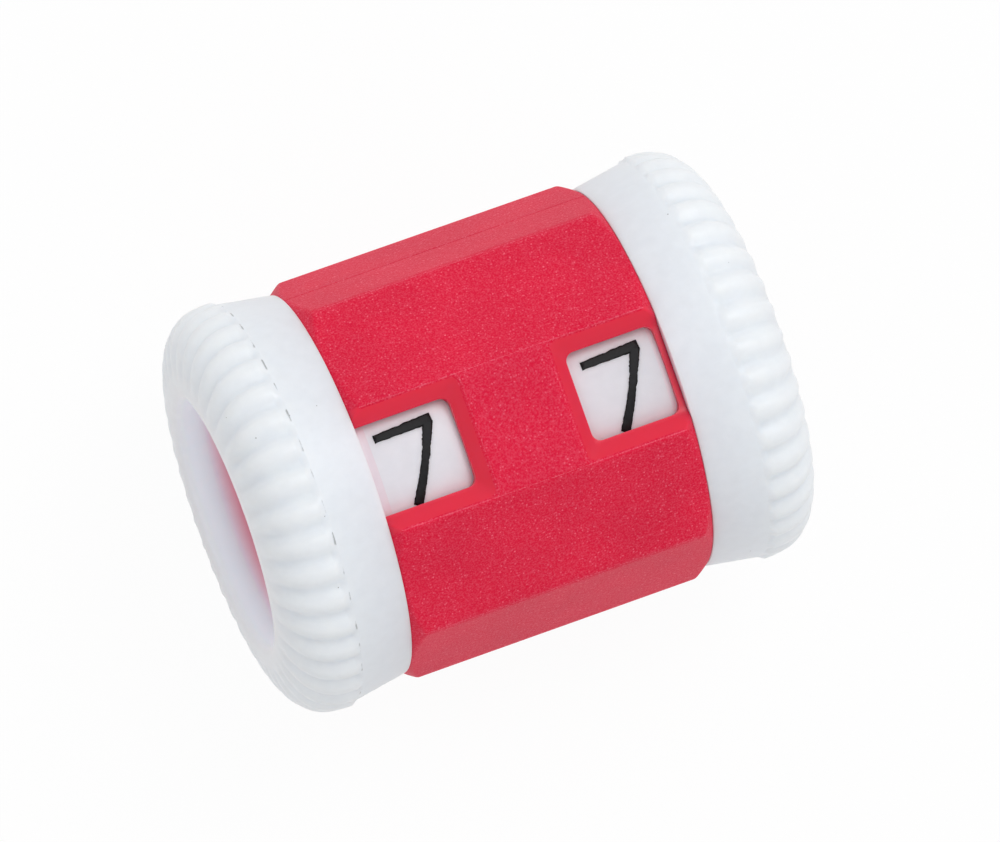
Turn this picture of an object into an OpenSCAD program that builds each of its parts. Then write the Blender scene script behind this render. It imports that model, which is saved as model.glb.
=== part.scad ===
// Barrel row counter that slides over a knitting needle.
// The barrel lies along X with its origin at the middle of the bore. The number windows face +Z.
// A red sleeve is keyed on a core tube, and a white number wheel turns on each end of the tube.

/* [Core tube] */
// Radius of the bore that the needle goes through
bore_r = 5.85; // [4:0.05:8]
// Wall of the core tube
core_wall = 1.1; // [0.8:0.05:1.6]
// How far the ends of the core tube lie inside the mouths
core_inset = 2.6; // [1.3:0.05:3]
// Thickness of the middle web
web_t = 1.2; // [0.8:0.1:2]
// Height of the snap bead inside a wheel
bead_h = 0.22; // [0.15:0.01:0.3]
// Width of the snap bead at its foot
bead_w = 0.7; // [0.5:0.05:1]
// Distance from the end of the core tube to the bead
bead_inset = 0.8; // [0.6:0.05:1.2]

/* [Sleeve] */
// Length of the sleeve
sleeve_len = 14.6; // [12:0.1:22]
// Wall of the sleeve at the middle of a flat
sleeve_wall = 0.85; // [0.7:0.05:1.2]
// Length of the cone that turns both ends of the sleeve round
end_cone = 0.55; // [0.3:0.05:1]
// How far the round ends lie inside the flats
end_step = 0.04; // [0.02:0.01:0.1]
// How far the ten corners are turned down
corner_trim = 0.04; // [0.02:0.01:0.1]
// Width of the two keys that hold the web
key_w = 1.4; // [0.8:0.1:2]
// Height of the two keys
key_h = 0.4; // [0.2:0.05:0.5]

/* [Windows] */
// Distance from the middle of the sleeve to a window
window_start = 2.8; // [2.3:0.1:3.5]
// Height of a window across the flat
window_h = 4.15; // [3:0.05:4.6]
// Radius of the window corners
window_corner = 0.42; // [0.1:0.01:0.5]
// Width of the sloped frame towards the middle of the sleeve
frame_w = 0.7; // [0.3:0.05:1]
// Depth of the sloped frame
frame_depth = 0.55; // [0.2:0.05:0.6]
// How far the frame runs over the corners of the flat
frame_lap = 0.06; // [0.03:0.01:0.1]
// Radius of the outer corners of the frame
frame_corner = 0.3; // [0.1:0.05:0.6]
// How much rounder the foot of the frame is than the window
frame_ease = 0.06; // [0.03:0.01:0.1]
// Width of the thin bar that closes the right window
window_bar = 0.28; // [0.2:0.02:0.6]

/* [Number wheels] */
// Wall of the number drum
drum_wall = 1.02; // [0.8:0.02:1.5]
// How far a wheel stands out from the flats where it meets the sleeve
neck_step = 0.02; // [0:0.01:0.3]
// Length of the smooth cone
cone_len = 2.94; // [2:0.02:5]
// How far the rim stands out from the neck
rim_rise = 0.61; // [0.4:0.01:1]
// Length of the domed rim
dome_len = 2.55; // [2:0.05:4]
// Roundness of the dome, where 2 is an ellipse
dome_power = 2.4; // [2:0.1:3]
// Number of lobes on the rim
lobes = 40; // [30:2:54]
// Depth of the valleys between the lobes
lobe_depth = 0.33; // [0.1:0.01:0.4]
// How far the backs of the lobes stand over the end of the cone
lobe_step = 0.11; // [0.05:0.01:0.2]
// Turn of a lobe of the left wheel from the numeral that shows
left_lobe_turn = 4.5; // [0:0.1:9]
// Turn of a lobe of the right wheel from the numeral that shows
right_lobe_turn = 7.2; // [0:0.1:9]
// Radius of the rounded lip at the mouth
lip_r = 0.45; // [0.2:0.05:0.6]
// Width of the low shoulder at the foot of the drum
shoulder_w = 0.58; // [0.4:0.02:1]
// Fillet between the shoulder and the cone
drum_fillet = 0.15; // [0.05:0.01:0.2]

/* [Click stops] */
// Height of the nibs on the web
nib_h = 0.15; // [0.08:0.01:0.18]
// Radius of the round back of a nib
nib_r = 0.5; // [0.3:0.05:0.7]

/* [Fits] */
// Radial clearance of a wheel on the core tube
run_gap = 0.08; // [0.02:0.01:0.1]
// Radial clearance of a drum in the sleeve
drum_gap = 0.1; // [0.05:0.01:0.2]
// End play between a wheel and the core tube
end_gap = 0.2; // [0.19:0.01:0.3]
// Gap between a wheel and the end of the sleeve
neck_gap = 0.06; // [0.04:0.01:0.2]
// Clearance of the snap beads and nibs in their grooves
snap_gap = 0.1; // [0.05:0.01:0.15]
// Clearance of the web in the sleeve
key_gap = 0.03; // [0.01:0.01:0.06]

/* [Hidden] */
$fn = 96;
red = "#d4304a";
white = "#e8ecf0";
cut = 1;

// Radii from the bore outwards
core_r = bore_r + core_wall;
run_r = core_r + run_gap;
drum_r = run_r + drum_wall;
shoulder_r = drum_r + drum_gap / 4;
sleeve_in_r = drum_r + drum_gap;
flat_r = sleeve_in_r + sleeve_wall;
neck_r = flat_r + neck_step;
rim_r = neck_r + rim_rise;
cone_end_r = rim_r - lobe_step;
apex_r = bore_r + lip_r;

// Ten flats of the sleeve
sides = 10;
half_side = 180 / sides;
corner_r = flat_r / cos(half_side);
facet_w = 2 * flat_r * tan(half_side);

// Stations along the barrel from its middle
drum_start = web_t / 2 + end_gap;
sleeve_end = sleeve_len / 2;
neck_x = sleeve_end + neck_gap;
rim_x = neck_x + cone_len;
apex_x = rim_x + dome_len;
core_end = apex_x - core_inset;
bead_x = core_end - bead_inset;
counterbore_end = core_end + end_gap;

// Fluted rim, with turns counted over the dome from its crest (0) to its apex (90 degrees)
rim_overlap = 0.15;
lobe_points = 6;
dome_rings = 8;
flute_end = 82;
flute_power = 6;
lip_start = 84;
lip_bend = 15;
fillet_bend = 30;
crest_foot_r = (run_r + rim_r) / 2;
round_points = lobes * lobe_points;

// One click stop for each numeral
stops = 10;

// Places a shape drawn along Z on the barrel axis
module along_barrel(x) {
    translate([x, 0, 0]) rotate([0, 90, 0]) children();
}

module disc(r, x_from, x_to) {
    along_barrel(x_from) cylinder(r = r, h = x_to - x_from);
}

// Turns an outline of [radius, station] points round the barrel axis
module turned(outline) {
    along_barrel(0) rotate_extrude() polygon(outline);
}

// Flanked bead or groove round radius r, as the corners of its outline from high station to low
function bead_outline(r, height, width, x) = [
    [r, x + width / 2],
    [r - height, x + width / 2 - height],
    [r - height, x - width / 2 + height],
    [r, x - width / 2]
];

// Ten-sided bar with a flat facing up, turned down at its corners and to round ends
module sleeve_blank() {
    shoulder = sleeve_end - end_cone;
    turned_r = corner_r - corner_trim;
    end_r = flat_r - end_step;
    intersection() {
        along_barrel(-sleeve_len) rotate([0, 0, half_side])
            cylinder(r = corner_r, h = 2 * sleeve_len, $fn = sides);
        turned([
            [0, -sleeve_end], [end_r, -sleeve_end], [turned_r, -shoulder],
            [turned_r, shoulder], [end_r, sleeve_end], [0, sleeve_end]
        ]);
    }
}

// Rectangle with round corners that starts at x = 0
module window_outline(length, height, corner) {
    translate([corner, -height / 2]) square([length - 2 * corner, height]);
    translate([0, corner - height / 2]) square([length, height - 2 * corner]);
    for (x = [corner, length - corner], y = [-1, 1])
        translate([x, y * (height / 2 - corner)]) circle(r = corner, $fn = 32);
}

// Window opening and its sloped frame on the right half, where a bar of 0 leaves the end open
module window_cut(bar) {
    open_end = bar > 0 ? sleeve_end - bar : sleeve_end + cut;
    run_out = sleeve_end + cut;
    floor_z = flat_r - frame_depth;
    frame_start = window_start - frame_w;
    frame_h = facet_w + 2 * frame_lap;
    translate([window_start, 0, 0]) linear_extrude(height = flat_r + cut)
        window_outline(open_end - window_start, window_h, window_corner);
    hull() {
        translate([frame_start, 0, flat_r]) linear_extrude(height = cut)
            window_outline(run_out - frame_start, frame_h, frame_corner);
        translate([window_start, 0, floor_z]) linear_extrude(height = cut)
            window_outline(run_out - window_start, window_h, window_corner + frame_ease);
    }
}

// Two ribs in the bore of the sleeve that stop the web from turning
module web_keys(width, height, length) {
    for (side = [-1, 1])
        translate([-length / 2, side * sleeve_in_r - height, -width / 2]) cube([length, 2 * height, width]);
}

module window_sleeve() {
    color(red) difference() {
        union() {
            difference() {
                sleeve_blank();
                disc(sleeve_in_r, -sleeve_len, sleeve_len);
            }
            web_keys(key_w, key_h, web_t);
        }
        window_cut(window_bar);
        mirror([1, 0, 0]) window_cut(0);
    }
}

// Round-backed click nibs above and below the axis on the right face of the web
module nibs() {
    intersection() {
        for (way = [0, 180])
            rotate([way, 0, 0]) translate([web_t / 2 + nib_h - nib_r, 0, 0]) cylinder(r = nib_r, h = drum_r);
        turned([[run_r, 0], [drum_r, 0], [drum_r, drum_start], [run_r, drum_start]]);
    }
}

module core_tube() {
    web_r = sleeve_in_r - key_gap;
    half_groove = bead_outline(core_r, bead_h - run_gap + snap_gap, bead_w + 2 * snap_gap, bead_x);
    half_outline = concat([[core_r, core_end]], half_groove, [[core_r, web_t / 2], [web_r, web_t / 2]]);
    other_half = [for (i = [len(half_outline) - 1 : -1 : 0]) [half_outline[i][0], -half_outline[i][1]]];
    color(red) difference() {
        union() {
            turned(concat([[bore_r, core_end]], half_outline, other_half, [[bore_r, -core_end]]));
            nibs();
            mirror([1, 0, 0]) nibs();
        }
        web_keys(key_w + 2 * key_gap, key_h + key_gap, 2 * web_t);
    }
}

function dome_x(turn) = rim_x + dome_len * pow(sin(turn), 2 / dome_power);
function dome_r(turn) = apex_r + (rim_r - apex_r) * pow(cos(turn), 2 / dome_power);

// Direction square to the dome, as [along, outwards]
function dome_normal(turn) =
    let (
        along = pow(sin(turn), 2 - 2 / dome_power) / dome_len,
        outwards = pow(cos(turn), 2 - 2 / dome_power) / (rim_r - apex_r)
    )
        [along, outwards] / norm([along, outwards]);

// Valley depth left at a turn of the dome
function valley(turn) = lobe_depth * (1 - pow(turn / flute_end, flute_power));

// Share of the valley depth at a point of a ring, in a soft wave from the back of a lobe to the next
function wave(i) = (1 - cos(360 * i / lobe_points)) / 2;

// Ring of points at [station, radius] from a lobe's back on, sunk by up to a depth along a direction
function rim_ring(place, depth, direction, lobe_turn) = [
    for (i = [0 : round_points - 1])
        let (
            angle = 90 - lobe_turn + 360 * i / round_points,
            point = place - depth * wave(i) * direction
        )
            [point[0], point[1] * cos(angle), point[1] * sin(angle)]
];

// Fluted part of the dome, lofted as a closed band of rings whose lobes fade towards the mouth
module fluted_rim(lobe_turn) {
    outwards = [0, 1];
    back_x = rim_x - rim_overlap;
    mouth_foot_r = (bore_r + dome_r(flute_end)) / 2;
    turns = [for (i = [0 : dome_rings - 1]) flute_end * i / (dome_rings - 1)];
    rings = concat(
        [rim_ring([back_x, crest_foot_r], 0, outwards, lobe_turn)],
        [rim_ring([back_x, rim_r], lobe_depth, outwards, lobe_turn)],
        [
            for (turn = turns)
                rim_ring([dome_x(turn), dome_r(turn)], valley(turn), dome_normal(turn), lobe_turn)
        ],
        [rim_ring([dome_x(flute_end), mouth_foot_r], 0, outwards, lobe_turn)]
    );
    faces = [
        for (k = [0 : len(rings) - 1], i = [0 : round_points - 1])
            let (
                j = (i + 1) % round_points,
                a = k * round_points,
                b = ((k + 1) % len(rings)) * round_points
            )
                each [[a + i, b + i, b + j], [a + i, b + j, a + j]]
    ];
    polyhedron(points = [for (ring = rings) each ring], faces = faces);
}

// Grooves across the end of the drum, one for each numeral
module click_grooves() {
    for (i = [0 : stops - 1])
        rotate([360 * i / stops, 0, 0]) translate([drum_start + nib_h - nib_r, 0, 0])
            cylinder(r = nib_r + snap_gap, h = drum_r + cut);
}

module number_wheel(lobe_turn) {
    dome_foot_r = (neck_r + crest_foot_r) / 2;
    shoulder_x = neck_x - shoulder_w;
    shoulder = [[drum_r, shoulder_x], [shoulder_r, shoulder_x + shoulder_r - drum_r]];
    fillet = [
        for (bend = [180 : -fillet_bend : 90])
            [shoulder_r + drum_fillet * (1 + cos(bend)), neck_x - drum_fillet * (1 - sin(bend))]
    ];
    lip = [
        for (bend = [90 : lip_bend : 180])
            [apex_r + lip_r * cos(bend), apex_x - lip_r + lip_r * sin(bend)]
    ];
    color(white) union() {
        difference() {
            turned(concat(
                [[run_r, drum_start], [drum_r, drum_start]],
                shoulder,
                fillet,
                [[neck_r, neck_x], [cone_end_r, rim_x], [dome_foot_r, rim_x]],
                [[dome_r(lip_start), dome_x(lip_start)]],
                lip,
                [[bore_r, counterbore_end], [run_r, counterbore_end]],
                bead_outline(run_r, bead_h, bead_w, bead_x)
            ));
            click_grooves();
        }
        fluted_rim(lobe_turn);
    }
}

module right_number_wheel() number_wheel(right_lobe_turn);

module left_number_wheel() mirror([1, 0, 0]) number_wheel(left_lobe_turn);

window_sleeve();
core_tube();
left_number_wheel();
right_number_wheel();
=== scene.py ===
import math

import bpy
from mathutils import Matrix, Vector


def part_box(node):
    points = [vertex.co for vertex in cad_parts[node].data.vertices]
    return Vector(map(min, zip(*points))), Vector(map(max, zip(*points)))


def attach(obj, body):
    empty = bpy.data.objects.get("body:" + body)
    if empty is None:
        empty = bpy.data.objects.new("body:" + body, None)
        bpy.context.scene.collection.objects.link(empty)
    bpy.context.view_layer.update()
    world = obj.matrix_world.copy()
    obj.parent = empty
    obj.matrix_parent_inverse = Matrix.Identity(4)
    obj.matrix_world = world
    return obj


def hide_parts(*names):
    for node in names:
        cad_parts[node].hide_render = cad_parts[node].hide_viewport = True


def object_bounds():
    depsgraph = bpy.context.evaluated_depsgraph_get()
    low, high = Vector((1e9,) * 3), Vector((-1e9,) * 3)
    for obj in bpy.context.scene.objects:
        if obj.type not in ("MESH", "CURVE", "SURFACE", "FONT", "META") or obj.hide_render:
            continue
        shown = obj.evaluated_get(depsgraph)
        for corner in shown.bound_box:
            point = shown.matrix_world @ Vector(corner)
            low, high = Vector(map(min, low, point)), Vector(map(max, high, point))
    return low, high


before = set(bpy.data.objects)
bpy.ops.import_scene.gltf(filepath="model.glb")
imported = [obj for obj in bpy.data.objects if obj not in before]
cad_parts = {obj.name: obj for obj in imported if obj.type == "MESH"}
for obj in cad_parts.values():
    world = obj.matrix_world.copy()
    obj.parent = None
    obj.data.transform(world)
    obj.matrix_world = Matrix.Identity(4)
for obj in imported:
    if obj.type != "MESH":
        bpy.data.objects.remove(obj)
cad_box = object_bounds()
bpy.context.scene.view_settings.view_transform = "Standard"


# Core tube: the inner moulding that the needle slides through and that the wheels turn on.
# Smooth red polypropylene. Its web is keyed in the sleeve, and the wheels snap over its ends.

MM = 0.001


def linear(hex_colour):
    """Turns an sRGB hex colour into the linear colour that a shader socket takes."""
    channels = [int(hex_colour[i:i + 2], 16) / 255 for i in (0, 2, 4)]
    return [c / 12.92 if c <= 0.04045 else ((c + 0.055) / 1.055) ** 2.4 for c in channels] + [1]


def add_node(tree, kind, settings=None, links=None):
    """Adds a shader node, sets its properties or sockets by name and links other sockets to its inputs."""
    node = tree.nodes.new("ShaderNode" + kind)
    for name, value in (settings or {}).items():
        if isinstance(name, str) and hasattr(node, name):
            setattr(node, name, value)
        else:
            node.inputs[name].default_value = value
    for name, socket in (links or {}).items():
        tree.links.new(socket, node.inputs[name])
    return node


def plastic(name, colour, roughness):
    """Starts a moulded plastic: its tree, its shader and the object coordinates that patterns read."""
    material = bpy.data.materials.new(name)
    material.use_nodes = True
    tree = material.node_tree
    tree.nodes.clear()
    shader = add_node(
        tree, "BsdfPrincipled", {"Base Color": linear(colour), "Roughness": roughness, "IOR": 1.49}
    )
    add_node(tree, "OutputMaterial", links={"Surface": shader.outputs["BSDF"]})
    place = add_node(tree, "TexCoord").outputs["Object"]
    return material, tree, shader, place


RED = "E41E43"
RED_DEPTH = 1 * MM
RED_SPREAD = (1.0, 0.25, 0.3)
FLOW_MARK = 2.5 * MM
FLOW_HEIGHT = 0.02 * MM

# Smooth moulded polypropylene: a saturated red that light soaks into a little, with a soft gloss
core_red, tree, shader, place = plastic("moulded_red_polypropylene", RED, 0.34)
shader.inputs["Specular IOR Level"].default_value = 0.35
shader.inputs["Subsurface Weight"].default_value = 0.9
shader.inputs["Subsurface Radius"].default_value = RED_SPREAD
shader.inputs["Subsurface Scale"].default_value = RED_DEPTH
flow = add_node(tree, "TexNoise", {"Scale": 1 / FLOW_MARK, "Detail": 3.0}, {"Vector": place})
wave = add_node(tree, "Bump", {"Strength": 0.15, "Distance": FLOW_HEIGHT}, {"Height": flow.outputs["Fac"]})
tree.links.new(wave.outputs["Normal"], shader.inputs["Normal"])

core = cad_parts["core_tube"]
core.data.materials.clear()
core.data.materials.append(core_red)


# Window sleeve: the ten-sided red grip that shows one numeral of each wheel through its windows.
# One polypropylene moulding, spark-textured on the flats and polished in the window frames.
# It is pushed over the web of the core tube and keyed there.

sleeve_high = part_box("window_sleeve")[1]
SIDES = 10
SIDE_TURN = 2 * math.pi / SIDES
SLEEVE_END = sleeve_high.x
FLAT_R = sleeve_high.z
CORNER_R = FLAT_R / math.cos(SIDE_TURN / 2)
FACET_W = 2 * FLAT_R * math.tan(SIDE_TURN / 2)
SLEEVE_WALL = 0.85 * MM
SLEEVE_IN_R = FLAT_R - SLEEVE_WALL
END_CONE = 0.55 * MM
END_DROP = 0.04 * MM
END_R = FLAT_R - END_DROP
WINDOW_START = 2.8 * MM
WINDOW_H = 4.15 * MM
WINDOW_CORNER = 0.42 * MM
WINDOW_BAR = 0.28 * MM
FRAME_W = 0.7 * MM
FRAME_START = WINDOW_START - FRAME_W
FRAME_DEPTH = 0.55 * MM
FRAME_LAP = 0.06 * MM
FRAME_H = FACET_W + 2 * FRAME_LAP
CORNER_BLEND = 0.16 * MM
EDGE_BLEND = 0.1 * MM
FRAME_BLEND = 0.36 * MM
WEAR_AND_SHEEN_W = 0.03 * MM
PARTING_W = 0.07 * MM
PARTING_DEPTH = 0.035 * MM
PARTING_TURN = math.radians(72)
FACET_COLUMNS = 40
COLUMN_CROWDING = 0.85
WINDOW_SEGMENTS = 8
SLEEVE_CREASE = math.radians(30)
CUT = 1 * MM
TINY = 0.001 * MM


def deselect_all():
    """Leaves edit mode and deselects every object."""
    if bpy.context.mode != "OBJECT":
        bpy.ops.object.mode_set(mode="OBJECT")
    bpy.ops.object.select_all(action="DESELECT")


def make_active(piece):
    """Makes a piece the only one that is selected, and the active one."""
    deselect_all()
    piece.select_set(True)
    bpy.context.view_layer.objects.active = piece


def settle(piece):
    """Puts a piece's place into its mesh, so that its object sits at the origin."""
    make_active(piece)
    bpy.ops.object.transform_apply(location=True, rotation=True, scale=True)


def apply_modifier(piece, kind, **settings):
    """Gives a piece a modifier with its settings and applies it."""
    make_active(piece)
    modifier = piece.modifiers.new(kind.lower(), kind)
    for name, value in settings.items():
        setattr(modifier, name, value)
    bpy.ops.object.modifier_apply(modifier=modifier.name)


def edit_where(piece, elements, test):
    """Enters edit mode with those vertices, edges or polygons selected that pass a test."""
    make_active(piece)
    bpy.ops.object.mode_set(mode="EDIT")
    bpy.ops.mesh.select_mode(type={"vertices": "VERT", "edges": "EDGE", "polygons": "FACE"}[elements])
    bpy.ops.mesh.select_all(action="DESELECT")
    bpy.ops.object.mode_set(mode="OBJECT")
    for element in getattr(piece.data, elements):
        element.select = test(element)
    bpy.ops.object.mode_set(mode="EDIT")


def face_outwards(piece):
    """Merges doubled points and turns every face outwards."""
    edit_where(piece, "polygons", lambda face: True)
    bpy.ops.mesh.remove_doubles(threshold=TINY)
    bpy.ops.mesh.normals_make_consistent(inside=False)
    bpy.ops.object.mode_set(mode="OBJECT")


def turned(outline, steps):
    """Draws an outline of (radius, station) points by extruding a vertex, and spins it round the barrel."""
    points = [Vector((x, 0, r)) for r, x in outline]
    deselect_all()
    bpy.ops.mesh.primitive_plane_add(size=MM)
    bpy.ops.object.mode_set(mode="EDIT")
    bpy.ops.mesh.select_mode(type="VERT")
    bpy.ops.mesh.merge(type="CENTER")
    bpy.ops.transform.translate(value=points[0])
    for start, end in zip(points, points[1:]):
        bpy.ops.mesh.extrude_vertices_move(TRANSFORM_OT_translate={"value": end - start})
    bpy.ops.mesh.select_all(action="SELECT")
    bpy.ops.mesh.spin(steps=steps, angle=2 * math.pi, center=(0, 0, 0), axis=(1, 0, 0))
    bpy.ops.object.mode_set(mode="OBJECT")
    piece = bpy.context.active_object
    face_outwards(piece)
    return piece


def blend_low(a, b, width):
    """The lower of two radii, rounded off where they come within a width of each other."""
    near = max(width - abs(a - b), 0)
    return min(a, b) - near * near / (4 * width)


def blend_high(a, b, width):
    """The higher of two radii, rounded off in the same way."""
    return -blend_low(-a, -b, width)


def frame_radius(x, turn):
    """Radius of the sunk window frame: slopes at its sides and inner end, eased together, over a floor."""
    up = math.cos(turn)
    steepness = 2 * FRAME_DEPTH / (FRAME_H - WINDOW_H)
    sides = (FLAT_R - steepness * FRAME_H / 2) / (up - steepness * abs(math.sin(turn)))
    fall = FRAME_DEPTH * (abs(x) - FRAME_START) / (WINDOW_START - FRAME_START)
    inner_end = (FLAT_R - fall) / up
    floor = (FLAT_R - FRAME_DEPTH) / up
    return blend_high(blend_high(sides, inner_end, FRAME_BLEND), floor, EDGE_BLEND)


def two_flats(turn):
    """Radii of the nearest flat and of the next one at a turn round the barrel."""
    from_flat = (turn + SIDE_TURN / 2) % SIDE_TURN - SIDE_TURN / 2
    return FLAT_R / math.cos(from_flat), FLAT_R / math.cos(SIDE_TURN - abs(from_flat))


def sleeve_radius(x, turn):
    """Outer radius of the sleeve: ten flats with rounded corners, a cone at each end and two sunk frames."""
    cone = END_R + (CORNER_R - END_R) * (SLEEVE_END - abs(x)) / END_CONE
    radius = blend_low(blend_low(*two_flats(turn), CORNER_BLEND), cone, EDGE_BLEND)
    if abs(turn) > SIDE_TURN:
        return radius
    return blend_low(radius, frame_radius(x, turn), EDGE_BLEND)


def edge_wear_and_sheen(point):
    """Pale edge share, part wear and part painted highlight: all on corners of flats and on frame rims."""
    turn = math.atan2(point.y, point.z)
    flat, next_flat = two_flats(turn)
    off_edge = next_flat - flat
    if abs(turn) < SIDE_TURN:
        off_edge = min(off_edge, abs(frame_radius(point.x, turn) - flat))
    return max(0, 1 - off_edge / WEAR_AND_SHEEN_W)


def crowd_to_corners(turn):
    """Shifts an evenly spread turn towards the nearest corner, where the rounding needs more points."""
    from_corner = turn / SIDE_TURN - 0.5
    shift = COLUMN_CROWDING * math.sin(2 * math.pi * from_corner) / (2 * math.pi)
    return (from_corner - shift + 0.5) * SIDE_TURN


def spaced(low, high, step):
    """Evenly spaced stations from low up to, but without, high."""
    count = round((high - low) / step)
    return [low + (high - low) * i / count for i in range(count)]


def combine(piece, operation, tool):
    """Cuts a piece with a tool and removes the tool."""
    apply_modifier(piece, "BOOLEAN", operation=operation, solver="EXACT", object=tool)
    bpy.data.objects.remove(tool)


def block(low, high):
    """Adds a box between two corners."""
    deselect_all()
    bpy.ops.mesh.primitive_cube_add(size=1, location=(Vector(low) + Vector(high)) / 2)
    box = bpy.context.active_object
    box.scale = Vector(high) - Vector(low)
    settle(box)
    return box


def window_opening(low_x, high_x):
    """Cutter for a window, with its four upright edges rounded."""
    cutter = block((low_x, -WINDOW_H / 2, 0), (high_x, WINDOW_H / 2, FLAT_R + CUT))
    points = cutter.data.vertices
    edit_where(
        cutter, "edges",
        lambda edge: abs(points[edge.vertices[0]].co.z - points[edge.vertices[1]].co.z) > CUT,
    )
    bpy.ops.mesh.bevel(offset=WINDOW_CORNER, segments=WINDOW_SEGMENTS)
    bpy.ops.object.mode_set(mode="OBJECT")
    return cutter


FRAME_EASE = 0.2 * MM
FOOT_EASE = 0.1 * MM
END_EASE = 0.7 * MM

# Stations of the right half as runs of start, end and step, closest together where the form bends
RUNS = (
    (0, FRAME_START - FRAME_EASE, 0.4 * MM),
    (FRAME_START - FRAME_EASE, FRAME_START + FRAME_EASE, 0.03 * MM),
    (FRAME_START + FRAME_EASE, WINDOW_START + FOOT_EASE, 0.06 * MM),
    (WINDOW_START + FOOT_EASE, SLEEVE_END - END_EASE, 0.3 * MM),
    (SLEEVE_END - END_EASE, SLEEVE_END, 0.05 * MM),
)
right_half = [x for run in RUNS for x in spaced(*run)] + [SLEEVE_END]
stations = [-x for x in reversed(right_half[1:])] + right_half
sleeve = turned(
    [(FLAT_R, x) for x in stations]
    + [(SLEEVE_IN_R, SLEEVE_END), (SLEEVE_IN_R, -SLEEVE_END), (FLAT_R, -SLEEVE_END)],
    SIDES * FACET_COLUMNS,
)
sleeve.name = "red_window_sleeve"
for vertex in sleeve.data.vertices:
    x, y, z = vertex.co
    if math.hypot(y, z) > SLEEVE_IN_R + TINY:
        turn = crowd_to_corners(math.atan2(y, z))
        radius = sleeve_radius(x, turn)
        vertex.co = (x, radius * math.sin(turn), radius * math.cos(turn))
combine(sleeve, "DIFFERENCE", window_opening(WINDOW_START, SLEEVE_END - WINDOW_BAR))
combine(sleeve, "DIFFERENCE", window_opening(-SLEEVE_END - CUT, -WINDOW_START))
for turn in (PARTING_TURN, PARTING_TURN - math.pi):
    groove = block(
        (-SLEEVE_END - CUT, -PARTING_W / 2, FLAT_R - PARTING_DEPTH),
        (SLEEVE_END + CUT, PARTING_W / 2, FLAT_R + CUT),
    )
    groove.rotation_euler.x = -turn
    settle(groove)
    combine(sleeve, "DIFFERENCE", groove)
make_active(sleeve)
bpy.ops.object.shade_smooth_by_angle(angle=SLEEVE_CREASE)
# Share of the pale edge, partly wear and partly painted highlight, kept on the points.
wear_and_sheen = sleeve.data.attributes.new("wear_and_sheen", "FLOAT", "POINT")
wear_and_sheen.data.foreach_set("value", [edge_wear_and_sheen(vertex.co) for vertex in sleeve.data.vertices])

GRAIN_RED = "DE1137"
PEAK_AND_PAINTED_GLINT_PINK = "F4798F"
WEAR_AND_SHEEN_PINK = "F48CA0"
SHEEN_BLUE = "B4C0FF"
SPARK_GRAIN = 0.08 * MM
PIT_DEPTH = 0.03 * MM
GLINT = 0.13 * MM
MOTTLE = 4 * MM

# Spark-eroded polypropylene: a fine matt grain, lighter on its peaks partly as its own tone and partly as
# painted highlight, with tiny pale dots of painted glint strewn over it, and edges rubbed pale, partly by
# wear and partly as painted highlight on their rounding. The grain is drawn a little coarser than the real
# one, so that it shows.
textured_red, tree, shader, place = plastic("spark_textured_red_polypropylene", RED, 0.5)
shader.inputs["Specular IOR Level"].default_value = 0.17
shader.inputs["Specular Tint"].default_value = linear(SHEEN_BLUE)
shader.inputs["Subsurface Weight"].default_value = 0.3
shader.inputs["Subsurface Radius"].default_value = RED_SPREAD
shader.inputs["Subsurface Scale"].default_value = RED_DEPTH / 2
grain = add_node(
    tree, "TexNoise", {"Scale": 1 / SPARK_GRAIN, "Detail": 2.0, "Roughness": 0.6}, {"Vector": place}
)
# The grain's peaks are lighter, partly as its own tone and partly as painted highlight.
peaks = add_node(
    tree, "MapRange", {"From Min": 0.4, "From Max": 0.68, "To Max": 0.27}, {"Value": grain.outputs["Fac"]}
)
# Painted glints: pale dots mixed into the colour in place of light sparkling off the grain.
cells = add_node(tree, "TexVoronoi", {"Scale": 1 / GLINT}, {"Vector": place})
dots = add_node(
    tree, "MapRange", {"From Min": 0.1, "From Max": 0.42, "To Min": 1.0, "To Max": 0.0},
    {"Value": cells.outputs["Distance"]},
)
few = add_node(
    tree, "MapRange", {"From Min": 0.5, "From Max": 0.9, "To Max": 0.75}, {"Value": cells.outputs["Color"]}
)
grain_and_painted_glints = add_node(
    tree, "Math", {"operation": "MULTIPLY_ADD"},
    {0: dots.outputs["Result"], 1: few.outputs["Result"], 2: peaks.outputs["Result"]},
)
speckled = add_node(
    tree, "Mix", {"data_type": "RGBA", 6: linear(GRAIN_RED), 7: linear(PEAK_AND_PAINTED_GLINT_PINK)},
    {"Factor": grain_and_painted_glints.outputs[0]},
)
# Pale edges: partly wear and partly a painted highlight along the rounded corners and frame rims.
wear_and_sheen_share = add_node(tree, "Attribute", {"attribute_name": "wear_and_sheen"})
patchy = add_node(
    tree, "Math", {"operation": "MULTIPLY"}, {0: wear_and_sheen_share.outputs["Fac"], 1: grain.outputs["Fac"]}
)
rubbed_and_sheen = add_node(
    tree, "MapRange", {"From Min": 0.2, "From Max": 0.7, "To Max": 0.5}, {"Value": patchy.outputs[0]}
)
edged = add_node(
    tree, "Mix", {"data_type": "RGBA", 7: linear(WEAR_AND_SHEEN_PINK)},
    {"Factor": rubbed_and_sheen.outputs["Result"], 6: speckled.outputs[2]},
)
mottle = add_node(tree, "TexNoise", {"Scale": 1 / MOTTLE, "Detail": 2.0}, {"Vector": place})
tone = add_node(
    tree, "MapRange", {"From Min": 0.3, "From Max": 0.7, "To Min": 0.95, "To Max": 1.04},
    {"Value": mottle.outputs["Fac"]},
)
toned = add_node(
    tree, "HueSaturation", links={"Color": edged.outputs[2], "Value": tone.outputs["Result"]}
)
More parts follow.
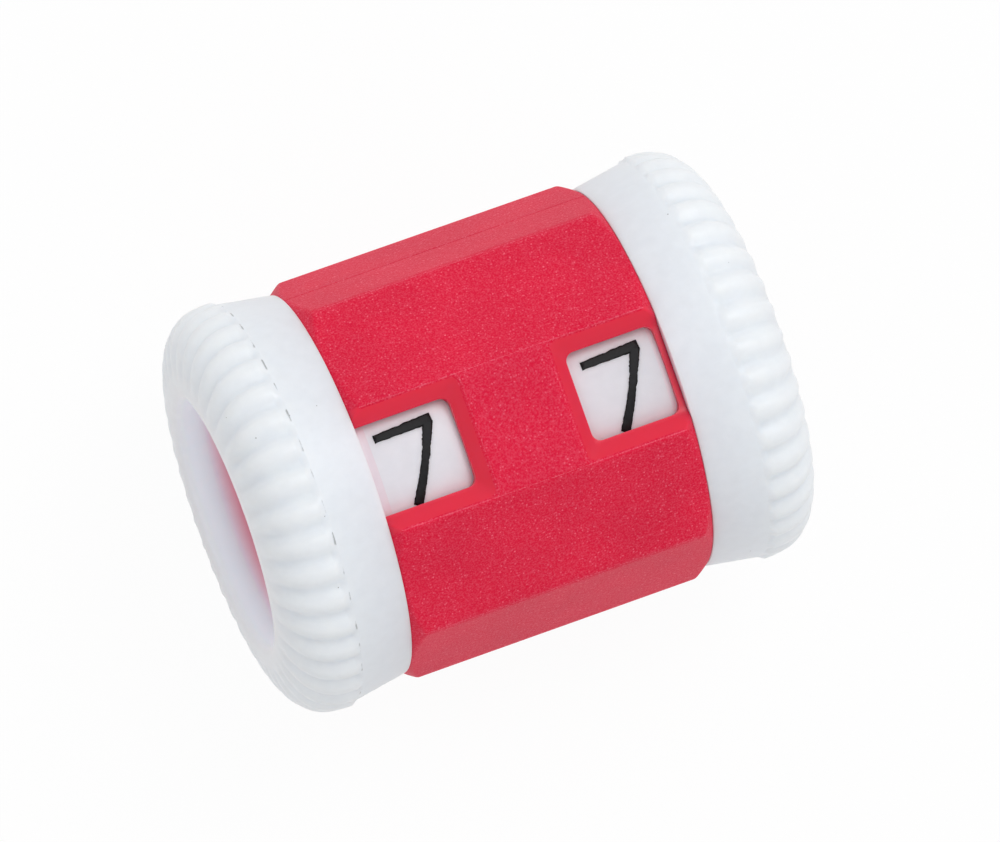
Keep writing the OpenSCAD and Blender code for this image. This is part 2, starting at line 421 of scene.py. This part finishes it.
pits = add_node(tree, "Bump", {"Strength": 0.8, "Distance": PIT_DEPTH}, {"Height": grain.outputs["Fac"]})
tree.links.new(toned.outputs["Color"], shader.inputs["Base Color"])
tree.links.new(pits.outputs["Normal"], shader.inputs["Normal"])

sleeve.data.materials.clear()
sleeve.data.materials.append(textured_red)
sleeve.data.materials.append(core_red)
for face in sleeve.data.polygons:
    in_frame = abs(face.center.y) < FACET_W / 2 and 0 < face.center.z < FLAT_R - EDGE_BLEND
    face.material_index = 1 if in_frame else 0

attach(sleeve, "body")
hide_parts("window_sleeve")


# Number wheels: one at each end, with a printed drum inside the sleeve, a smooth cone and a fluted dome.
# Each is one moulding of milky, slightly translucent polyethylene, snapped over the end of the core tube.

wheel_low, wheel_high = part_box("right_number_wheel")
DRUM_START = wheel_low.x
APEX_X = wheel_high.x
RIM_R = 9.63 * MM
DOME_LEN = 2.55 * MM
DOME_POWER = 2.4
NECK_R = FLAT_R + 0.02 * MM
NECK_GAP = 0.015 * MM
NECK_ROUND = 0.03 * MM
LOBES = 40
LOBE_DEPTH = 0.33 * MM
LOBE_STEP = 0.11 * MM
LOBE_BACK = 0.15 * MM
STEP_RUN = 0.26 * MM
# Width of the grey line at each lobe's foot, partly dirt and partly painted shade.
GRIME_AND_SHADE_W = 0.08 * MM
GRIME_AND_SHADE_REACH = 0.7
LEFT_LOBE_TURN = math.radians(4.5)
RIGHT_LOBE_TURN = math.radians(7.2)
FLUTE_END = 84
FLUTE_POWER = 6
VALLEY_POWER = 1.5
LOBE_COLUMNS = 12
WHEEL_CREASE = math.radians(62)
BORE_R = 5.85 * MM
LIP_R = 0.45 * MM
RUN_R = 7.03 * MM
DRUM_R = 8.09 * MM
DRUM_FILLET = 0.15 * MM
SHOULDER_R = DRUM_R + 0.03 * MM
SHOULDER_X = SLEEVE_END - 0.52 * MM
MOUTH_END = APEX_X - 2.4 * MM
# Painted red light: where it starts in the mouth, how it grows, and how much lies on the shoulder.
RED_LIGHT_START = APEX_X - 1.05 * MM
RED_LIGHT_POWER = 1.5
SHOULDER_RED_LIGHT = 0.12
GLOW_RISE = 0.6 * MM
GLOW_FALL = 10 * MM
RIM_X = APEX_X - DOME_LEN
NECK_X = SLEEVE_END + NECK_GAP
BACK_X = RIM_X - LOBE_BACK
FOOT_X = BACK_X - STEP_RUN
CONE_RISE = (RIM_R - LOBE_STEP - NECK_R) / (RIM_X - NECK_X)


def arc(centre_r, centre_x, radius, bends):
    """Points of a round corner as radius and station, at bends counted from outwards towards the mouth."""
    angles = [math.radians(bend) for bend in bends]
    return [(centre_r + radius * math.cos(a), centre_x + radius * math.sin(a)) for a in angles]


def dome_point(turn):
    """Radius and station of the dome, from its crest (0 degrees) to its apex (90 degrees)."""
    apex_r = BORE_R + LIP_R
    angle = math.radians(turn)
    radius = apex_r + (RIM_R - apex_r) * math.cos(angle) ** (2 / DOME_POWER)
    return radius, RIM_X + DOME_LEN * math.sin(angle) ** (2 / DOME_POWER)


def lobe_wave(point):
    """1 on the back of a lobe and -1 in a valley."""
    return math.cos(LOBES * math.atan2(point.y, point.z))


def flute(point):
    """Share of the flute depth at a point: all of it in a valley at the crest, none off the rim."""
    if point.x < BACK_X - TINY or math.hypot(point.y, point.z) < BORE_R + LIP_R:
        return 0
    rise = min(1, max(0, (point.x - RIM_X) / DOME_LEN))
    turn = math.degrees(math.asin(rise ** (DOME_POWER / 2)))
    fade = max(0, 1 - (turn / FLUTE_END) ** FLUTE_POWER)
    return fade * ((1 - lobe_wave(point)) / 2) ** VALLEY_POWER


def foot_grime_and_shade(point):
    """Share of the grey line where a lobe steps up from the cone: partly dirt, partly painted shade."""
    return min(1, max(0, GRIME_AND_SHADE_REACH + lobe_wave(point))) if abs(point.x - FOOT_X) < TINY else 0


def painted_red_light_share(point):
    """Share of the painted red light: growing towards the foot of the mouth, faint on the drum's shoulder."""
    radius = math.hypot(point.y, point.z)
    if radius < BORE_R + TINY:
        return max(0, (RED_LIGHT_START - point.x) / (RED_LIGHT_START - MOUTH_END)) ** RED_LIGHT_POWER
    return SHOULDER_RED_LIGHT if SHOULDER_X + TINY < point.x < NECK_X + TINY else 0


def mouth_glow(point):
    """Painted glow share on the mouth wall, for light carried in: most just inside the lip, less deeper in.
    """
    if math.hypot(point.y, point.z) > BORE_R + LIP_R:
        return 0
    depth = APEX_X - point.x
    return min(depth / GLOW_RISE, 1 - depth / GLOW_FALL)


cone_stations = spaced(NECK_X + 0.4 * MM, FOOT_X - GRIME_AND_SHADE_W, 0.4 * MM) + [FOOT_X - GRIME_AND_SHADE_W, FOOT_X]
right_wheel = turned(
    [(RIM_R, BACK_X), (RIM_R, RIM_X - LOBE_BACK / 2), (RIM_R, RIM_X)]
    + [dome_point(turn) for turn in range(3, 90, 3)]
    + arc(BORE_R + LIP_R, APEX_X - LIP_R, LIP_R, range(90, 181, 10))
    + [(BORE_R, x) for x in reversed(spaced(MOUTH_END, APEX_X - LIP_R, 0.15 * MM))]
    + [(RUN_R, MOUTH_END), (RUN_R, DRUM_START), (DRUM_R, DRUM_START)]
    + [(DRUM_R, SHOULDER_X), (SHOULDER_R, SHOULDER_X + SHOULDER_R - DRUM_R)]
    + arc(SHOULDER_R + DRUM_FILLET, NECK_X - DRUM_FILLET, DRUM_FILLET, range(180, 89, -15))
    + arc(NECK_R - NECK_ROUND, NECK_X + NECK_ROUND, NECK_ROUND, range(-90, -9, 20))
    + [(NECK_R + CONE_RISE * (x - NECK_X), x) for x in cone_stations],
    LOBES * LOBE_COLUMNS,
)
right_wheel.name = "white_right_wheel"
flutes = right_wheel.vertex_groups.new(name="flutes")
for vertex in right_wheel.data.vertices:
    flutes.add([vertex.index], flute(vertex.co), "REPLACE")
apply_modifier(
    right_wheel, "DISPLACE", direction="NORMAL", vertex_group="flutes", mid_level=0, strength=-LOBE_DEPTH
)
edit_where(right_wheel, "edges", lambda edge: False)
bpy.ops.mesh.select_non_manifold(
    use_wire=False, use_multi_face=False, use_non_contiguous=False, use_verts=False
)
bpy.ops.mesh.bridge_edge_loops()
bpy.ops.object.mode_set(mode="OBJECT")
face_outwards(right_wheel)
make_active(right_wheel)
bpy.ops.object.shade_smooth_by_angle(angle=WHEEL_CREASE)
for name, share in (("grime_and_shade", foot_grime_and_shade), ("painted_red_light", painted_red_light_share), ("glow", mouth_glow)):
    layer = right_wheel.data.attributes.new(name, "FLOAT", "POINT")
    layer.data.foreach_set("value", [share(vertex.co) for vertex in right_wheel.data.vertices])

left_wheel = right_wheel.copy()
left_wheel.data = right_wheel.data.copy()
left_wheel.name = "white_left_wheel"
bpy.context.scene.collection.objects.link(left_wheel)
left_wheel.scale.x = -1
left_wheel.rotation_euler.x = -LEFT_LOBE_TURN
settle(left_wheel)
face_outwards(left_wheel)
right_wheel.rotation_euler.x = -RIGHT_LOBE_TURN
settle(right_wheel)
right_wheel.data.attributes.remove(right_wheel.data.attributes["grime_and_shade"])

# The drum and the rim are one plastic: the rim's lighter white, reached gradually along the cone, is painted
# light that brightens the fluted dome.
DRUM_WHITE = "E6E8EE"
RIM_WHITE = "EBF0F6"
GLOW_WHITE = "BDE9FB"
PAINTED_RED_LIGHT_PINK = "E8547C"
DIRT_AND_SHADE_GREY = "5E5A58"
WHITE_SPREAD = (1.0, 0.95, 0.92)
DRUM_DEPTH = 0.4 * MM
RIM_DEPTH = 2.5 * MM
MOUTH_GLOW = 0.265
SCUFF = 0.6 * MM
SCUFF_HEIGHT = 0.015 * MM
SPECK_SPACING = 1.5 * MM
SPECK_SIZE = 0.04 * MM / SPECK_SPACING

# Milky polyethylene: light soaks in and softens every fold, deepest in the thick rim, and the skin is satin
# with faint flow waves. The rim's lighter white is painted light on the same plastic. The wall of the mouth
# has a painted glow standing in for light from outside, and painted red light turns it pink towards its
# foot and lies faintly on the drum's shoulder. Broken grey lines at the feet of the left lobes are partly
# dirt and partly painted shade where each lobe steps up from the cone; a few stray specks are dirt.
milky_white, tree, shader, place = plastic("moulded_milky_polyethylene", RIM_WHITE, 0.42)
shader.inputs["Subsurface Weight"].default_value = 1.0
shader.inputs["Subsurface Radius"].default_value = WHITE_SPREAD
along = add_node(tree, "SeparateXYZ", links={0: place})
outward = add_node(tree, "Math", {"operation": "ABSOLUTE"}, {0: along.outputs["X"]})
rimward = add_node(tree, "MapRange", {"From Min": NECK_X, "From Max": RIM_X}, {"Value": outward.outputs[0]})
depth = add_node(
    tree, "MapRange", {"To Min": DRUM_DEPTH, "To Max": RIM_DEPTH}, {"Value": rimward.outputs["Result"]}
)
# Lighter from the neck to the rim: painted light on one plastic.
white = add_node(
    tree, "Mix", {"data_type": "RGBA", 6: linear(DRUM_WHITE), 7: linear(RIM_WHITE)},
    {"Factor": rimward.outputs["Result"]},
)
scuff = add_node(
    tree, "TexNoise", {"Scale": 1 / SCUFF, "Detail": 4.0, "Roughness": 0.55}, {"Vector": place}
)
satin = add_node(
    tree, "MapRange", {"From Min": 0.3, "From Max": 0.7, "To Min": 0.36, "To Max": 0.5},
    {"Value": scuff.outputs["Fac"]},
)
skin = add_node(tree, "Bump", {"Strength": 0.2, "Distance": SCUFF_HEIGHT}, {"Height": scuff.outputs["Fac"]})
# Grey broken lines at the lobes' feet: partly dirt, partly painted shade at the step.
foot = add_node(tree, "Attribute", {"attribute_name": "grime_and_shade"})
broken = add_node(tree, "Math", {"operation": "MULTIPLY"}, {0: foot.outputs["Fac"], 1: scuff.outputs["Fac"]})
lines = add_node(
    tree, "MapRange", {"From Min": 0.41, "From Max": 0.6, "To Max": 0.55}, {"Value": broken.outputs[0]}
)
strewn = add_node(tree, "TexVoronoi", {"Scale": 1 / SPECK_SPACING}, {"Vector": place})
specks = add_node(
    tree, "MapRange",
    {"From Min": SPECK_SIZE / 2, "From Max": SPECK_SIZE, "To Min": 0.8, "To Max": 0.0},
    {"Value": strewn.outputs["Distance"]},
)
dirt_and_shade = add_node(
    tree, "Math", {"operation": "MAXIMUM"}, {0: lines.outputs["Result"], 1: specks.outputs["Result"]}
)
# Painted red light: pink mixed into the colour and the glow, for red from the core tube and sleeve.
painted_red_light = add_node(tree, "Attribute", {"attribute_name": "painted_red_light"})
warm = add_node(
    tree, "Mix", {"data_type": "RGBA", 7: linear(PAINTED_RED_LIGHT_PINK)},
    {"Factor": painted_red_light.outputs["Fac"], 6: white.outputs[2]},
)
cool = add_node(
    tree, "Mix", {"data_type": "RGBA", 6: linear(GLOW_WHITE), 7: linear(PAINTED_RED_LIGHT_PINK)},
    {"Factor": painted_red_light.outputs["Fac"]},
)
# Painted glow: emission on the wall of the mouth, standing in for light that comes through from outside.
glow = add_node(tree, "Attribute", {"attribute_name": "glow"})
carried = add_node(tree, "Math", {"operation": "MULTIPLY", 1: MOUTH_GLOW}, {0: glow.outputs["Fac"]})
milk = add_node(
    tree, "Mix", {"data_type": "RGBA", 7: linear(DIRT_AND_SHADE_GREY)}, {"Factor": dirt_and_shade.outputs[0], 6: warm.outputs[2]}
)
cloud = add_node(
    tree, "MapRange", {"From Min": 0.3, "From Max": 0.7, "To Min": 0.98, "To Max": 1.02},
    {"Value": scuff.outputs["Fac"]},
)
cloudy = add_node(
    tree, "HueSaturation", links={"Color": milk.outputs[2], "Value": cloud.outputs["Result"]}
)
tree.links.new(cloudy.outputs["Color"], shader.inputs["Base Color"])
tree.links.new(depth.outputs["Result"], shader.inputs["Subsurface Scale"])
tree.links.new(cool.outputs[2], shader.inputs["Emission Color"])
tree.links.new(carried.outputs[0], shader.inputs["Emission Strength"])
tree.links.new(satin.outputs["Result"], shader.inputs["Roughness"])
tree.links.new(skin.outputs["Normal"], shader.inputs["Normal"])

for piece, side in ((left_wheel, "left"), (right_wheel, "right")):
    piece.data.materials.clear()
    piece.data.materials.append(milky_white)
    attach(piece, side + "_wheel")
    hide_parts(side + "_number_wheel")


# Numerals: ten black digits printed round each drum, of which the windows show one at a time.
# Thin pad-printed ink in plain single strokes with ragged edges. They turn with their wheel.

NUMERAL_W = 2.76 * MM
NUMERAL_H = 3.52 * MM
NUMERAL_DOWN = 0.32 * MM
STROKE = 0.43 * MM
INK = 0.024 * MM
RAGGED = 0.035 * MM
STROKE_STEPS = 18
LEFT_NUMERAL_X = -5.14 * MM
RIGHT_NUMERAL_X = 4.84 * MM
NUMERAL_TURN = math.pi / 5
SHOWN = 7

# Strokes of each digit on a field one wide and one high. A stroke that ends where it starts is a closed loop.
# A third number is the share of the stroke width at that point.
DIGIT_STROKES = [
    [[(0.5, 1), (1, 0.5), (0.5, 0), (0, 0.5), (0.5, 1)]],
    [[(0.2, 0.78), (0.55, 1.03)], [(0.52, 1.05), (0.52, 0)]],
    [[(0.04, 0.76), (0.5, 1), (0.94, 0.74), (0.62, 0.4), (0.04, 0)], [(0, 0), (1, 0)]],
    [[(0.05, 0.86), (0.5, 1), (0.9, 0.77), (0.42, 0.54)], [(0.42, 0.54), (1, 0.27), (0.5, 0), (0, 0.16)]],
    [[(0.68, 1.03), (0.03, 0.3)], [(0, 0.3), (1, 0.3)], [(0.72, 0.62), (0.72, 0)]],
    [
        [(0.92, 1), (0.1, 1)],
        [(0.16, 1), (0.08, 0.5)],
        [(0.06, 0.5), (0.5, 0.62), (1, 0.32), (0.5, 0), (0, 0.14)],
    ],
    [[(0.78, 1), (0.26, 0.72), (0.02, 0.3)], [(0.5, 0.6), (0.98, 0.3), (0.5, 0), (0.02, 0.3), (0.5, 0.6)]],
    [[(0, 0.97, 0.88), (1.01, 1, 1.15)], [(0.945, 0.99, 1.12), (0.69, 0.52, 0.86), (0.35, -0.01, 1.05)]],
    [
        [(0.5, 1), (0.9, 0.77), (0.5, 0.54), (0.1, 0.77), (0.5, 1)],
        [(0.5, 0.54), (1, 0.27), (0.5, 0), (0, 0.27), (0.5, 0.54)],
    ],
    [[(0.22, 0), (0.74, 0.28), (0.98, 0.7)], [(0.5, 0.4), (0.02, 0.7), (0.5, 1), (0.98, 0.7), (0.5, 0.4)]],
]


def pen_stroke(points, seed):
    """One stroke of a digit as a tube along a smooth curve through its points, with ragged sides."""
    closed = points[0] == points[-1]
    deselect_all()
    bpy.ops.curve.primitive_bezier_curve_add(enter_editmode=True)
    bpy.ops.curve.select_all(action="SELECT")
    bpy.ops.curve.delete(type="VERT")
    for across, up, *width in points[:-1] if closed else points:
        bpy.ops.curve.vertex_add(location=((across - 0.5) * NUMERAL_W, (up - 0.5) * NUMERAL_H, 0))
    bpy.ops.curve.select_all(action="SELECT")
    bpy.ops.curve.handle_type_set(type="AUTOMATIC")
    if closed:
        bpy.ops.curve.cyclic_toggle()
    bpy.ops.object.mode_set(mode="OBJECT")
    pen = bpy.context.active_object
    for knot, (across, up, *width) in zip(pen.data.splines[0].bezier_points, points):
        knot.radius = width[0] if width else 1
    pen.data.resolution_u = STROKE_STEPS
    pen.data.bevel_depth = STROKE / 2
    pen.data.bevel_resolution = 2
    pen.data.use_fill_caps = True
    bpy.ops.object.convert(target="MESH")
    stroke = bpy.context.active_object
    face_outwards(stroke)
    edit_where(stroke, "vertices", lambda vertex: True)
    bpy.ops.transform.vertex_random(offset=RAGGED, seed=seed)
    bpy.ops.object.mode_set(mode="OBJECT")
    return stroke


def join_all(pieces):
    """Joins pieces into the first of them."""
    deselect_all()
    for piece in pieces:
        piece.select_set(True)
    bpy.context.view_layer.objects.active = pieces[0]
    bpy.ops.object.join()
    return bpy.context.active_object


def numeral(digit, centre_x):
    """One digit, pressed flat and wrapped on the drum at its own place."""
    strokes = [pen_stroke(points, digit) for points in DIGIT_STROKES[digit]]
    printed = join_all(strokes)
    for vertex in printed.data.vertices:
        angle = (vertex.co.y - NUMERAL_DOWN) / DRUM_R + (digit - SHOWN) * NUMERAL_TURN
        radius = DRUM_R + vertex.co.z * INK / STROKE
        vertex.co = (vertex.co.x + centre_x, radius * math.sin(angle), radius * math.cos(angle))
    return printed


INK_GREY = "18191B"
THICK_INK = "0B0B0D"
THIN_INK = "202124"
INK_PATCH = 0.25 * MM

# Pad-printed ink: a thin matt black that varies a little where the film is thinner
printing_ink, tree, shader, place = plastic("pad_printed_black_ink", INK_GREY, 0.5)
shader.inputs["Specular IOR Level"].default_value = 0.2
film = add_node(tree, "TexNoise", {"Scale": 1 / INK_PATCH, "Detail": 3.0}, {"Vector": place})
thin = add_node(tree, "MapRange", {"From Min": 0.35, "From Max": 0.8}, {"Value": film.outputs["Fac"]})
black = add_node(
    tree, "Mix", {"data_type": "RGBA", 6: linear(THICK_INK), 7: linear(THIN_INK)},
    {"Factor": thin.outputs["Result"]},
)
matt = add_node(
    tree, "MapRange", {"From Min": 0.3, "From Max": 0.7, "To Min": 0.42, "To Max": 0.6},
    {"Value": film.outputs["Fac"]},
)
tree.links.new(black.outputs[2], shader.inputs["Base Color"])
tree.links.new(matt.outputs["Result"], shader.inputs["Roughness"])

for side, centre_x in (("left", LEFT_NUMERAL_X), ("right", RIGHT_NUMERAL_X)):
    numerals = join_all([numeral(digit, centre_x) for digit in range(10)])
    settle(numerals)
    numerals.name = "printed_" + side + "_numerals"
    numerals.data.materials.clear()
    numerals.data.materials.append(printing_ink)
    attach(numerals, side + "_wheel")


# Floor: a plain sheet of white paper that the barrel lies on.
# The camera sees it nearly white, with the object's soft shadow left in it.

PAPER_WHITE = "F4F4F4"
FLOOR_SIZE = 4
FLOOR_GLOW = 0.95


def seen_as_background(tree):
    """Socket that is 1 for rays from the camera and for mirrored or transmitted ones, and 0 for the rest."""
    path = add_node(tree, "LightPath")
    seen = path.outputs["Is Camera Ray"]
    for ray in ("Is Glossy Ray", "Is Transmission Ray"):
        seen = add_node(tree, "Math", {"operation": "MAXIMUM"}, {0: seen, 1: path.outputs[ray]}).outputs[0]
    return seen


floor_white, tree, shader, place = plastic("white_paper_sweep", PAPER_WHITE, 0.9)
lit = add_node(tree, "Math", {"operation": "MULTIPLY", 1: FLOOR_GLOW}, {0: seen_as_background(tree)})
pure_white = add_node(tree, "Emission", {"Color": (1, 1, 1, 1), "Strength": 1})
paper = add_node(
    tree, "MixShader",
    links={0: lit.outputs[0], 1: shader.outputs["BSDF"], 2: pure_white.outputs["Emission"]},
)
tree.links.new(paper.outputs["Shader"], tree.nodes["Material Output"].inputs["Surface"])
deselect_all()
bpy.ops.mesh.primitive_plane_add(size=FLOOR_SIZE, location=(0, 0, cad_box[0].z))
floor = bpy.context.active_object
floor.name = "floor"
settle(floor)
floor.data.materials.append(floor_white)


# Light: an even tent all round, which the camera sees as white.
# One soft box stands over the windows, up and to the right.

TENT = 0.68
BOX_POWER = 0.66
BOX_SIZE = 0.2
BOX_AT = Vector((0.135, 0.13, 0.41))

world = bpy.data.worlds.new("light_tent")
bpy.context.scene.world = world
world.use_nodes = True
tree = world.node_tree
tree.nodes.clear()
strength = add_node(tree, "MapRange", {"To Min": TENT, "To Max": 1.0}, {"Value": seen_as_background(tree)})
tent = add_node(tree, "Background", {"Color": (1, 1, 1, 1)}, {"Strength": strength.outputs["Result"]})
add_node(tree, "OutputWorld", links={"Surface": tent.outputs["Background"]})

bpy.ops.object.light_add(type="AREA", location=BOX_AT)
soft_box = bpy.context.active_object
soft_box.data.energy = BOX_POWER
soft_box.data.size = BOX_SIZE
soft_box.rotation_euler = BOX_AT.to_track_quat("Z", "Y").to_euler()


# Camera: above the barrel, leaning towards the left wheel, with the barrel rising to the right.
# The lens and the picture's centre come from the size of a pixel at the barrel's middle.

LEAN = math.radians(10.9)
PICTURE_TURN = math.radians(19.46)
FAR = 0.632
PIXEL = 0.04515 * MM
IMAGE_W = 1000
IMAGE_H = 842
CENTRE_PX = (487.4, 431.3)
SENSOR = 36
CLIP = (0.01, 10)

level = Vector((math.cos(LEAN), 0, math.sin(LEAN)))
upright = Vector((0, 1, 0))
right = level * math.cos(PICTURE_TURN) - upright * math.sin(PICTURE_TURN)
up = level * math.sin(PICTURE_TURN) + upright * math.cos(PICTURE_TURN)
back = right.cross(up)
bpy.ops.object.camera_add()
camera = bpy.context.active_object
camera.data.sensor_width = SENSOR
camera.data.lens = SENSOR * FAR / PIXEL / IMAGE_W
aside = (IMAGE_W / 2 - CENTRE_PX[0]) * PIXEL
above = (CENTRE_PX[1] - IMAGE_H / 2) * PIXEL
facing = Matrix((right, up, back)).transposed().to_4x4()
camera.matrix_world = Matrix.Translation(back * FAR + right * aside + up * above) @ facing
camera.data.clip_start = CLIP[0]
camera.data.clip_end = CLIP[1]
bpy.context.scene.camera = camera
